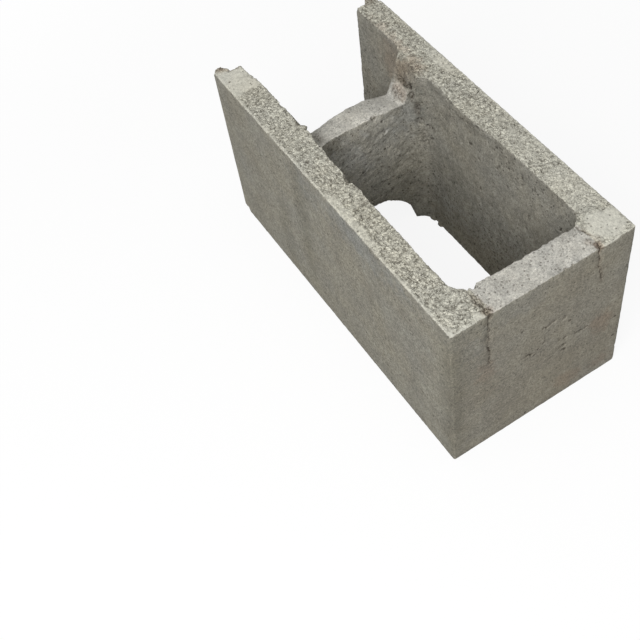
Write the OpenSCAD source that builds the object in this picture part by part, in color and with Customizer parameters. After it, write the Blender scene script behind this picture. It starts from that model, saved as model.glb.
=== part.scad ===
// Hollow concrete formwork block, closed at one end and open at the other.
// Two long walls, a closed end, one cross web with a saddle over it and an
// arch under it, and a tongue on the free end of each wall. Cast as one piece.
// Sizes in millimetres. The block lies on its bed, z = 0, as it is laid in a
// wall. The closed end faces -Y, the tongues point to +Y.

/* [Body] */
// Overall length, from the closed end to the crest of the tongues
body_length = 500; // [470:1:560]
// Overall width, across the two long walls
body_width = 240; // [230:1:300]
// Height of one course
body_height = 250; // [230:1:280]
// Rounding of the two upright corners at the closed end
corner_round = 3; // [1:0.5:6]

/* [Walls] */
// How much every wall and web thins on each cored side, from foot to top
core_draft = 5; // [2:0.5:8]
// Thickness at the foot of the walls beside the main core
wall_foot = 42; // [38:0.5:46]
// Thickness at the foot of the walls beside the open bay
bay_wall_foot = 38.5; // [34:0.5:42]

/* [Closed end] */
// Thickness at the foot of the closed end
end_foot = 44.5; // [40:0.5:52]
// How far the knock-out panel of the closed end lies below the wall tops
panel_drop = 1; // [0.5:0.5:4]
// Distance between the two score lines beside the knock-out panel
score_spacing = 144; // [120:1:150]
// Width of a score line at the face
score_width = 2.5; // [1.5:0.5:8]
// Depth of a score line at the top of the block
score_depth = 2; // [1:0.5:6]
// Length over which a score line runs out to nothing down the face
score_length = 100; // [60:5:180]

/* [Cross web] */
// Middle of the cross web, measured from the closed end
web_middle = 356.5; // [330:0.5:370]
// Thickness at the foot of the cross web
web_foot = 42.5; // [36:0.5:50]
// Radius of the arch through the foot of the cross web, on its main core side
arch_radius = 61; // [40:1:64]
// How much larger the radius of the arch is on the open bay side
arch_splay = 10; // [0:1:12]

/* [Core corners] */
// Corner radius at the foot of the main core, closed end side
end_corner = 15; // [10:0.5:24]
// Corner radius at the foot of the main core, cross web side
web_corner = 26; // [15:0.5:34]
// Corner radius at the foot of the open bay, against the cross web
bay_corner = 25; // [15:0.5:34]

/* [Saddle] */
// Width of the saddle at the top of the cross web
saddle_width = 154; // [130:1:160]
// How far the saddle lies off the middle of the block, as it was cast
saddle_shift = -4.5; // [-6:0.5:6]
// Depth of the saddle below the wall tops, at the crown in its middle
saddle_depth = 37.5; // [30:0.5:60]
// How much the floor of the saddle falls from its crown to each side
saddle_crown = 7; // [2:0.5:10]
// How far each side of the saddle leans in from top to floor
saddle_lean = 17; // [3:0.5:20]
// Radius where the floor of the saddle turns up into its sides
saddle_fillet = 10; // [6:0.5:14]

/* [Tongues] */
// How far a tongue stands proud of the shoulder of its wall
tongue_proud = 13; // [8:0.5:20]
// Width of a tongue at its root, from the outer face of the wall
tongue_root = 20.5; // [18:0.5:24]
// Length of the outer chamfer on the crest of a tongue
tongue_bevel = 5; // [3:0.5:7]
// Width of the flat crest of a tongue
tongue_crest = 7.5; // [5:0.5:9]

/* [Hidden] */
$fn = 96;

// Overrun of every cutter past the face it opens
over = 2;
// Half width of the block
half_w = body_width / 2;
// Half length, which puts the origin under the middle of the block
half_l = body_length / 2;
// The closed end and the shoulder of the walls along Y
y_end = -half_l;
y_shoulder = half_l - tongue_proud;
// Slope of every cored face, in mm of thickness per mm of height
lean = core_draft / body_height;
// Half widths of the two cores at the foot
core_half = half_w - wall_foot;
bay_half = half_w - bay_wall_foot;
// Faces of the closed end and of the cross web at the foot
y_core_front = y_end + end_foot;
y_web = y_end + web_middle;
y_core_back = y_web - web_foot / 2;
y_bay_front = y_web + web_foot / 2;
// Heights where cutters start and stop, and how much each has grown there
z_low = -over;
z_high = body_height + over;
cut_height = z_high - z_low;
grow_low = lean * z_low;
grow_high = lean * z_high;
// Radius of the crowned saddle floor, from its width and its fall
floor_half = saddle_width / 2 - saddle_lean;
crown_radius = (floor_half * floor_half + saddle_crown * saddle_crown) / (2 * saddle_crown);
z_crown = body_height - saddle_depth;
// Height of the saddle floor at its two sides
z_side = z_crown - saddle_crown;
crown_mid = [0, z_crown - crown_radius];
// The right side of the saddle: its run upwards and its normal into the gap
side_rise = body_height - z_side;
side_length = norm([saddle_lean, side_rise]);
side_up = [saddle_lean, side_rise] / side_length;
side_in = [-side_rise, saddle_lean] / side_length;
side_high = floor_half + saddle_lean * (z_high - z_side) / side_rise;
// Middle of the heel, which touches both the side and the crowned floor
heel_start = [floor_half, z_side] + saddle_fillet * side_in - crown_mid;
heel_along = heel_start * side_up;
heel_climb = sqrt(pow(heel_along, 2) - heel_start * heel_start
    + pow(crown_radius + saddle_fillet, 2)) - heel_along;
heel_mid = crown_mid + heel_start + heel_climb * side_up;
// Angle of the score line bottom against the face it is cut in
score_angle = atan(score_depth / score_length);

// A rounded corner of a core: its middle stays put, its radius grows upwards
module core_post(x, y, foot_radius) {
    translate([x, y, z_low])
        cylinder(h = cut_height, r1 = foot_radius + grow_low, r2 = foot_radius + grow_high);
}

// A run of core along Y between two stations, leaning out on both sides
module core_run(half, y0, y1) {
    translate([0, y1, 0])
        rotate([90, 0, 0])
            linear_extrude(height = y1 - y0)
                polygon([
                    [-half - grow_low, z_low], [half + grow_low, z_low],
                    [half + grow_high, z_high], [-half - grow_high, z_high]
                ]);
}

// A leaning end of a core, from a straight inner station y0 to the face y1
module core_end(half, y0, y1) {
    side = y1 > y0 ? 1 : -1;
    translate([-half, 0, 0])
        rotate([90, 0, 90])
            linear_extrude(height = 2 * half)
                polygon([
                    [y0, z_low], [y1 + side * grow_low, z_low],
                    [y1 + side * grow_high, z_high], [y0, z_high]
                ]);
}

// The main core, from the closed end to the cross web
module main_core() {
    y_mid = (y_core_front + y_core_back) / 2;
    front_x = core_half - end_corner;
    back_x = core_half - web_corner;
    core_run(core_half, y_core_front + end_corner, y_core_back - web_corner);
    core_end(front_x, y_mid, y_core_front);
    core_end(back_x, y_mid, y_core_back);
    for (side = [-1, 1]) {
        core_post(side * front_x, y_core_front + end_corner, end_corner);
        core_post(side * back_x, y_core_back - web_corner, web_corner);
    }
}

// The open bay, from the cross web out past the tongues
module open_bay() {
    side_x = bay_half - bay_corner;
    core_run(bay_half, y_bay_front + bay_corner, half_l + over);
    core_end(side_x, half_l + over / 2, y_bay_front);
    for (side = [-1, 1])
        core_post(side * side_x, y_bay_front + bay_corner, bay_corner);
}

// Section of the saddle: a crowned floor, leaning sides and round heels
module saddle_section() {
    difference() {
        polygon([
            [-floor_half, z_side - over], [floor_half, z_side - over], [floor_half, z_side],
            [side_high, z_high], [-side_high, z_high], [-floor_half, z_side]
        ]);
        translate([0, z_crown - crown_radius]) circle(r = crown_radius);
        saddle_heel();
        mirror([1, 0]) saddle_heel();
    }
}

// The concrete left standing where the floor turns up into the right side
module saddle_heel() {
    difference() {
        polygon([
            heel_mid - saddle_fillet * side_in,
            heel_mid - (saddle_fillet + over) * side_in,
            [floor_half + over, z_side - over],
            crown_mid + (heel_mid - crown_mid) * (crown_radius - over) / (crown_radius + saddle_fillet),
            crown_mid + (heel_mid - crown_mid) * crown_radius / (crown_radius + saddle_fillet)
        ]);
        translate(heel_mid) circle(r = saddle_fillet);
    }
}

// The lowered top of the cross web, where reinforcing bars lie
module saddle() {
    reach = web_foot / 2 + bay_corner + web_corner;
    translate([saddle_shift, y_web + reach, 0])
        rotate([90, 0, 0])
            linear_extrude(height = 2 * reach)
                saddle_section();
}

// The arch through the foot of the cross web, which widens towards the bay
module arch() {
    reach = web_foot / 2 + web_corner;
    widening = arch_splay / web_foot;
    translate([0, y_web + reach, 0])
        rotate([90, 0, 0])
            cylinder(
                h = 2 * reach,
                r1 = arch_radius + widening * (reach + web_foot / 2),
                r2 = arch_radius - widening * (reach - web_foot / 2)
            );
}

// A score line: a notch in the outer face that runs out down the face, and
// the shallow groove that carries it over the top of the closed end
module score(x) {
    face_out = score_depth + over;
    face_half = score_width / 2 * face_out / score_depth;
    top_depth = score_depth / 2;
    top_out = top_depth + panel_drop + over;
    top_half = score_width / 4 * top_out / top_depth;
    translate([x, y_end, body_height - score_length])
        rotate([-score_angle, 0, 0])
            translate([0, 0, -over])
                linear_extrude(height = score_length + 3 * over)
                    polygon([[-face_half, -face_out], [face_half, -face_out], [0, 0]]);
    translate([x, y_end - over, body_height - panel_drop - top_depth])
        rotate([90, 0, 180])
            linear_extrude(height = end_foot + over)
                polygon([[0, 0], [top_half, top_out], [-top_half, top_out]]);
}

// The knock-out panel of the closed end stands a little below the wall tops
module panel_relief() {
    translate([-score_spacing / 2, y_end - over, body_height - panel_drop])
        cube([score_spacing, end_foot + over, panel_drop + over]);
}

// Plan of one tongue, root to tip, on the outer half of the right wall end
function tongue_outline() = [
    [half_w - tongue_root, y_shoulder],
    [half_w - tongue_bevel - tongue_crest, half_l],
    [half_w - tongue_bevel, half_l],
    [half_w, half_l - tongue_bevel]
];

// The same outline for the left wall
function mirrored(points) = [for (p = points) [-p[0], p[1]]];

// Order of an outline turned round
function turned(points) = [for (i = [len(points) - 1:-1:0]) points[i]];

// Plan of the whole outside: a square closed end and two tongues
module outside_plan() {
    polygon(concat(
        tongue_outline(),
        [[half_w, y_end], [-half_w, y_end]],
        turned(mirrored(tongue_outline()))
    ));
}

// What a rounded upright corner of the closed end takes off: side is 1 or -1
module corner_cut(side) {
    mid = half_w - corner_round;
    translate([0, 0, -over])
        linear_extrude(height = body_height + 2 * over)
            difference() {
                polygon([
                    [side * mid, y_end - over], [side * (half_w + over), y_end - over],
                    [side * (half_w + over), y_end + corner_round], [side * mid, y_end + corner_round]
                ]);
                translate([side * mid, y_end + corner_round]) circle(r = corner_round);
            }
}

// The block as it is cast: the outside less its cores, saddle and arch
module block() {
    color([0.62, 0.61, 0.57])
        difference() {
            linear_extrude(height = body_height) outside_plan();
            main_core();
            open_bay();
            saddle();
            arch();
            panel_relief();
            for (side = [-1, 1]) {
                corner_cut(side);
                score(side * score_spacing / 2);
            }
        }
}

block();
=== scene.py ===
"""Hollow concrete formwork block, closed at one end, as it lies on a pale floor.

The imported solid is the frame. One finely meshed copy of it carries the cast
relief: open stone tops, a pressed panel and saddle, torn and drawn cored faces,
dense mould faces, and the nicks, joints and pits of this block.
"""

import logging
import math
from dataclasses import dataclass, field
from enum import Enum
from typing import Any

import bpy
import numpy as np
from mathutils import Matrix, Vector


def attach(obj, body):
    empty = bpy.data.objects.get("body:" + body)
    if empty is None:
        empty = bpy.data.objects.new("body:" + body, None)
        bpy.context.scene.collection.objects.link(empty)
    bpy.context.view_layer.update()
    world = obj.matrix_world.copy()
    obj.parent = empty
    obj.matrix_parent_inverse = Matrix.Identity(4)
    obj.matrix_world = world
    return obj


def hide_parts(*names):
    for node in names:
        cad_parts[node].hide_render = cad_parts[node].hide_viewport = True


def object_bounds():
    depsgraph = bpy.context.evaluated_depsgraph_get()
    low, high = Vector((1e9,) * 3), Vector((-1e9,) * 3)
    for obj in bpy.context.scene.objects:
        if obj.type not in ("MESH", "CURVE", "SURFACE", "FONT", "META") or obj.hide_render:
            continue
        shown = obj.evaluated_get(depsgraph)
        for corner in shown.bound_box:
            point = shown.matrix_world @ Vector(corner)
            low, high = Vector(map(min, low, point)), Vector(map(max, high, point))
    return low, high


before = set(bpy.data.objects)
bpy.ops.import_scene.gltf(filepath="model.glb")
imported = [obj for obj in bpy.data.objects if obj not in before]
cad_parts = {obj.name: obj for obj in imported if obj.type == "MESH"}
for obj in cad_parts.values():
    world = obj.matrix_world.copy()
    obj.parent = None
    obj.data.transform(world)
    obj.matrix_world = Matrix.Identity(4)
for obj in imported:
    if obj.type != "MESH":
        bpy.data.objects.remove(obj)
CAD_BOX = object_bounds()
LOG = logging.getLogger("block")
MM = 0.001
HALF_WIDTH, HALF_LENGTH, HEIGHT = (round(side / MM, 2) for side in CAD_BOX[1])
# Thicknesses at the foot, place of the cross web from the closed end, and draft, as in the source
WALL_FOOT, BAY_WALL_FOOT, END_FOOT, WEB_FOOT = 42.0, 38.5, 44.5, 42.5
WEB_MIDDLE = 356.5
DRAFT = 5.0
NO_STONE = -99.0
TINY = 1e-6
Colour = tuple[float, float, float, float]
Point = tuple[float, float, float]
Socket = bpy.types.NodeSocket


# Small maths
def smooth(low: float, high: float, x: np.ndarray) -> np.ndarray:
    """Smooth step of x from 0 at low to 1 at high; low may be the larger."""
    t = np.clip((x - low) / (high - low), 0.0, 1.0)
    return t * t * (3.0 - 2.0 * t)


def blend(a: Any, b: Any, share: np.ndarray) -> np.ndarray:
    """Mix of a and b, with share 1 giving b."""
    return a + (b - a) * share


def below(level: float, fade: float, z: np.ndarray) -> np.ndarray:
    """1 at a level, and smoothly less down to 0 at the depth fade below it."""
    return smooth(0.0, fade, fade - (level - z))


def flattened(p: np.ndarray) -> np.ndarray:
    """Copy of points, moved down to z = 0.

    Args:
        p: Points in mm.

    Returns:
        The moved points.
    """
    flat = p.copy()
    flat[:, 2] = 0.0
    return flat


def scrambled(ix: np.ndarray, iy: np.ndarray, iz: np.ndarray, seed: int) -> np.ndarray:
    """Whole-number hash of lattice places.

    Args:
        ix: Lattice columns.
        iy: Lattice rows.
        iz: Lattice layers.
        seed: Which of the many hashes to use.

    Returns:
        One uint32 for each place, the same on every run.
    """
    h = ix.astype(np.uint32) * np.uint32(0x9E3779B1)
    h ^= iy.astype(np.uint32) * np.uint32(0x85EBCA77)
    h ^= iz.astype(np.uint32) * np.uint32(0xC2B2AE3D)
    h += np.uint32((seed * 0x27D4EB2F) & 0xFFFFFFFF)
    for shift, factor in ((15, 0x2C1B3C6D), (12, 0x297A2D39)):
        h ^= h >> np.uint32(shift)
        h *= np.uint32(factor)
    return h ^ (h >> np.uint32(15))


def fraction(h: np.ndarray, part: int) -> np.ndarray:
    """Number from 0 to 1 out of ten bits of a hash; part 0, 1 or 2 picks them."""
    return ((h >> np.uint32(10 * part)) & np.uint32(1023)).astype(np.float32) / 1023.0


@dataclass(frozen=True)
class Noise:
    """Smooth gradient noise in three directions, about -1 to 1.

    Attributes:
        size: Distance between its lattice places, in mm.
        octaves: How many layers, each half as large and half as strong.
        seed: Its own number, so that no two effects repeat each other.
        stretch: Factors on the size along x, y and z.
        finer: How many times finer each layer is than the one before it.
        apart: How far the layers are shifted against each other, in lattice units.
        gain: Factor that brings the sum to about -1 to 1.
    """

    size: float
    octaves: int = 1
    seed: int = 0
    stretch: Point = (1.0, 1.0, 1.0)
    finer: float = 2.03
    apart: float = 11.7
    gain: float = 1.5

    def at(self, p: np.ndarray) -> np.ndarray:
        """Value of the noise at each point.

        Args:
            p: The points, (N, 3), in mm.

        Returns:
            One value for each point.
        """
        total = np.zeros(len(p), np.float32)
        q = p / (self.size * np.array(self.stretch, np.float32))
        weight = 1.0
        for octave in range(self.octaves):
            total += weight * self._layer(q.astype(np.float32), self.seed * 7 + octave)
            q = q * self.finer + self.apart
            weight *= 0.5
        return total * self.gain

    @staticmethod
    def _layer(q: np.ndarray, seed: int) -> np.ndarray:
        """One layer of gradient noise.

        Args:
            q: Points in lattice units.
            seed: Seed of this layer.

        Returns:
            One value for each point.
        """
        base = np.floor(q)
        f = q - base
        cell = base.astype(np.int64)
        w = f * f * f * (f * (f * 6.0 - 15.0) + 10.0)
        total = np.zeros(len(q), np.float32)
        for corner in range(8):
            step = (corner & 1, corner >> 1 & 1, corner >> 2)
            h = scrambled(cell[:, 0] + step[0], cell[:, 1] + step[1], cell[:, 2] + step[2], seed)
            reach = np.ones(len(q), np.float32)
            slope = np.zeros(len(q), np.float32)
            for axis in range(3):
                reach *= w[:, axis] if step[axis] else 1.0 - w[:, axis]
                slope += (2.0 * fraction(h, axis) - 1.0) * (f[:, axis] - step[axis])
            total += reach * slope
        return total


@dataclass(frozen=True)
class StoneLayer:
    """Rounded stones bedded side by side, seen from above.

    Attributes:
        spacing: Distance between places that may hold a stone, in mm.
        smallest: Radius of the smallest stone.
        largest: Radius of the largest stone.
        share: Share of the places that hold one.
        sunk: How far the lowest stone tops lie below the press plate.
        seed: Its own number.
        slim: How much the slimmest stone departs from round.
        dome: Height of a stone's cap over its radius.
    """

    spacing: float
    smallest: float
    largest: float
    share: float
    sunk: float
    seed: int
    slim: float = 0.45
    dome: float = 0.75

    def lay(self, x: np.ndarray, y: np.ndarray) -> tuple[np.ndarray, np.ndarray]:
        """Heights of the stones.

        Args:
            x: Places across the block, in mm.
            y: Places along it.

        Returns:
            The height at each place (0 or less, NO_STONE where none lies) and the
            tint, 0 to 1, of the stone there.
        """
        height = np.full(len(x), NO_STONE, np.float32)
        tint = np.full(len(x), 0.5, np.float32)
        column = np.floor(x / self.spacing).astype(np.int64)
        row = np.floor(y / self.spacing).astype(np.int64)
        level = np.zeros_like(row)
        for i in range(-2, 3):
            for j in range(-2, 3):
                h = scrambled(column + i, row + j, level, self.seed)
                g = scrambled(column + i, row + j, level, self.seed + 50)
                mid_x = (column + i + fraction(h, 0)) * self.spacing
                mid_y = (row + j + fraction(h, 1)) * self.spacing
                turn = fraction(g, 0) * math.pi
                along = (x - mid_x) * np.cos(turn) + (y - mid_y) * np.sin(turn)
                across = (y - mid_y) * np.cos(turn) - (x - mid_x) * np.sin(turn)
                radius = blend(self.smallest, self.largest, fraction(h, 2) ** 2)
                slim = 1.0 + self.slim * fraction(g, 1)
                d = (along ** 2 / slim + across ** 2 * slim) / radius ** 2
                top = -self.sunk * fraction(g, 2) ** 1.5
                cap = top - self.dome * radius * (1.0 - np.sqrt(np.clip(1.0 - d, 0.0, 1.0)))
                here = scrambled(column + i, row + j, level, self.seed + 90)
                cap = np.where((d < 1.0) & (fraction(here, 0) < self.share), cap, NO_STONE)
                tint = np.where(cap > height, fraction(here, 1), tint)
                height = np.maximum(height, cap)
        return height, tint


# The skin being shaped
class Zone(Enum):
    """The four finishes of the concrete, by how each surface was made."""

    CAST = "cast_face"
    DRAWN = "drawn_core"
    OPEN = "open_top"
    PRESSED = "pressed_top"


class Mark(Enum):
    """Marks that ride on the mesh as attributes and steer the finishes."""

    TONE = "tone"
    # hollow: painted shade in pits, air holes, stone gaps, cracks and torn ledges
    HOLLOW = "hollow"
    PASTE = "paste"
    RUST = "rust"


@dataclass
class Skin:
    """The fine mesh while it is shaped.

    Attributes:
        p: Resting places of its vertices, (N, 3), in mm.
        n: Their normals at rest.
        move: What the sub-assemblies add to the places.
        marks: One array of 0 to 1 for each mark.
        zones: One array of 0 to 1 for each zone.
    """

    p: np.ndarray
    n: np.ndarray
    move: np.ndarray = field(init=False)
    marks: dict[Mark, np.ndarray] = field(init=False)
    zones: dict[Zone, np.ndarray] = field(init=False)

    def __post_init__(self) -> None:
        """Starts with no relief, middling tone and clean concrete."""
        count = len(self.p)
        self.move = np.zeros((count, 3), np.float32)
        self.marks = {m: np.zeros(count, np.float32) for m in Mark}
        self.marks[Mark.TONE][:] = 0.5
        self.zones = {z: np.zeros(count, np.float32) for z in Zone}

    def near(self, low: Point, high: Point) -> np.ndarray:
        """Numbers of the vertices inside a box given by two corners in mm."""
        inside = np.all((self.p >= np.array(low)) & (self.p <= np.array(high)), axis=1)
        return np.flatnonzero(inside)

    def faces_up(self, where: np.ndarray) -> np.ndarray:
        """1 at the given vertices that face up, 0 at those on an upright face."""
        return smooth(0.25, 0.5, self.n[where, 2])

    def raise_mark(self, mark: Mark, where: np.ndarray, value: np.ndarray) -> None:
        """Lifts a mark to value at the given vertices, never lowering it."""
        self.marks[mark][where] = np.maximum(self.marks[mark][where], np.clip(value, 0.0, 1.0))

    def raise_zone(self, zone: Zone, where: np.ndarray, share: np.ndarray) -> None:
        """Lifts a zone's share at the given vertices, never lowering it."""
        self.zones[zone][where] = np.maximum(self.zones[zone][where], share)

    def press(self, where: np.ndarray, grain: np.ndarray, share: np.ndarray) -> None:
        """Gives a share of some vertices to the pressed zone, toned by their grain.

        Args:
            where: Numbers of the vertices.
            grain: The pressed grain at each.
            share: The share of each, 0 to 1.
        """
        self.raise_zone(Zone.PRESSED, where, share)
        tone = self.marks[Mark.TONE]
        tone[where] = blend(tone[where], 0.5 + 0.3 * grain, share)

    def claim(self, zone: Zone, where: np.ndarray, share: np.ndarray) -> None:
        """Gives a share of some vertices to one zone and takes it from the others.

        Args:
            zone: The zone that gets them.
            where: Numbers of the vertices.
            share: The share of each, 0 to 1.
        """
        for other in Zone:
            rest = self.zones[other][where] * (1.0 - share)
            self.zones[other][where] = rest + share if other is zone else rest


@dataclass(frozen=True)
class Spot:
    """A dent, lump or broken place with soft edges.

    Attributes:
        mid: Its middle, in mm.
        reach: Its half sizes along x, y and z.
        push: How far its middle moves.
        torn: Strength of the crumbled relief in it, in mm, along the push.
        rust: How brown it is, 0 to 1.
        dark: How much painted shade lies in it, 0 to 1.
        crumb: Size of its crumbs, in mm.
        zone: The finish that it gets, or None for the one around it.
    """

    mid: Point
    reach: Point
    push: Point
    torn: float = 0.0
    rust: float = 0.0
    dark: float = 0.0
    crumb: float = 3.4
    zone: Zone | None = None

    def mark(self, skin: Skin) -> None:
        """Moves and marks the skin round the spot.

        Args:
            skin: The skin being shaped.
        """
        mid, reach = np.array(self.mid), np.array(self.reach)
        i = skin.near(tuple(mid - 1.3 * reach), tuple(mid + 1.3 * reach))
        if not len(i):
            return
        p = skin.p[i]
        ragged = 0.22 * Noise(4.0, 2, 31).at(p)
        d = np.linalg.norm((p - mid) / reach, axis=1) + ragged
        w = smooth(1.0, 0.35, d)
        push = np.array(self.push, np.float32)
        length = max(float(np.linalg.norm(push)), TINY)
        crumb = Noise(self.crumb, 2, 32).at(p)
        amount = length + self.torn * crumb
        skin.move[i] += (push / length)[None, :] * (w * amount)[:, None]
        skin.raise_mark(Mark.RUST, i, self.rust * smooth(1.1, 0.4, d))
        # Painted shade in the spot, only in its crumbled pits where it is torn
        pits = smooth(0.15, -0.35, crumb) if self.torn else 1.0
        skin.raise_mark(Mark.HOLLOW, i, self.dark * w * pits)
        if self.zone:
            skin.claim(self.zone, i, smooth(0.95, 0.85, d))


@dataclass(frozen=True)
class Trail:
    """A groove, crack or row of pits along a line of points.

    Attributes:
        points: The line, in mm.
        reach: Half width of the groove.
        push: How far its bottom moves.
        broken: 0 for an even groove, up to 1 for single pits.
        step: Distance from pit to pit where it is broken.
        rust: How brown it is.
        dark: How much painted shade lies in it.
    """

    points: tuple[Point, ...]
    reach: float
    push: Point
    broken: float = 0.0
    step: float = 7.0
    rust: float = 0.0
    dark: float = 0.0

    def mark(self, skin: Skin) -> None:
        """Moves and marks the skin along the line.

        Args:
            skin: The skin being shaped.
        """
        line = np.array(self.points, np.float64)
        pad = 2.2 * self.reach + 1.0
        i = skin.near(tuple(line.min(0) - pad), tuple(line.max(0) + pad))
        if not len(i):
            return
        p = skin.p[i].astype(np.float64)
        for axis in (0, 1, 2):
            p[:, axis] += 0.9 * self.reach * Noise(1.7 * self.step, 2, 43 + axis).at(skin.p[i])
        d = np.full(len(i), np.inf)
        for a, b in zip(line[:-1], line[1:]):
            run = b - a
            t = np.clip(((p - a) @ run) / max(run @ run, TINY), 0.0, 1.0)
            d = np.minimum(d, np.linalg.norm(p - a - t[:, None] * run, axis=1))
        width = self.reach * (0.95 + 0.8 * Noise(1.3 * self.step, 2, 41).at(skin.p[i]))
        w = smooth(1.15, 0.25, d / np.maximum(width, 0.2))
        beads = smooth(-0.12, 0.12, Noise(self.step * 0.5, 1, 42).at(skin.p[i]))
        w *= 1.0 - self.broken * (1.0 - beads)
        skin.move[i] += np.array(self.push, np.float32)[None, :] * w[:, None]
        # Painted shade along the groove
        skin.raise_mark(Mark.HOLLOW, i, self.dark * w)
        skin.raise_mark(Mark.RUST, i, self.rust * smooth(2.0, 0.6, d / self.reach))


# The cored openings
@dataclass(frozen=True)
class Core:
    """A tapered opening with rounded corners, as the source cuts it.

    Attributes:
        half: Half width at the foot, in mm.
        start: Where it starts along y at the foot.
        stop: Where it stops.
        start_corner: Corner radius at its start, at the foot.
        stop_corner: Corner radius at its stop.
        draft: How much it grows on each side from foot to top.
        height: Height of the block, over which it grows.
    """

    half: float
    start: float
    stop: float
    start_corner: float
    stop_corner: float
    draft: float = DRAFT
    height: float = HEIGHT

    def beyond(self, p: np.ndarray) -> tuple[np.ndarray, np.ndarray]:
        """How deep points lie in the concrete round the core.

        Args:
            p: Points in mm.

        Returns:
            The distance from the wall of the core, positive in the concrete, and the
            level direction away from the core.
        """
        grow = self.draft * p[:, 2] / self.height
        mid = (self.start + self.stop) / 2.0
        radius = np.where(p[:, 1] < mid, self.start_corner, self.stop_corner) + grow
        half_y = (self.stop - self.start) / 2.0 + grow
        qx = np.abs(p[:, 0]) - (self.half + grow) + radius
        qy = np.abs(p[:, 1] - mid) - half_y + radius
        out_x, out_y = np.maximum(qx, 0.0), np.maximum(qy, 0.0)
        length = np.hypot(out_x, out_y)
        inner = np.minimum(np.maximum(qx, qy), 0.0)
        way = np.zeros((len(p), 3), np.float32)
        flat, whole = length < TINY, np.maximum(length, TINY)
        way[:, 0] = np.where(flat, (qx >= qy) * 1.0, out_x / whole) * np.sign(p[:, 0])
        way[:, 1] = np.where(flat, (qy > qx) * 1.0, out_y / whole) * np.sign(p[:, 1] - mid)
        return length + inner - radius, way


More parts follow.
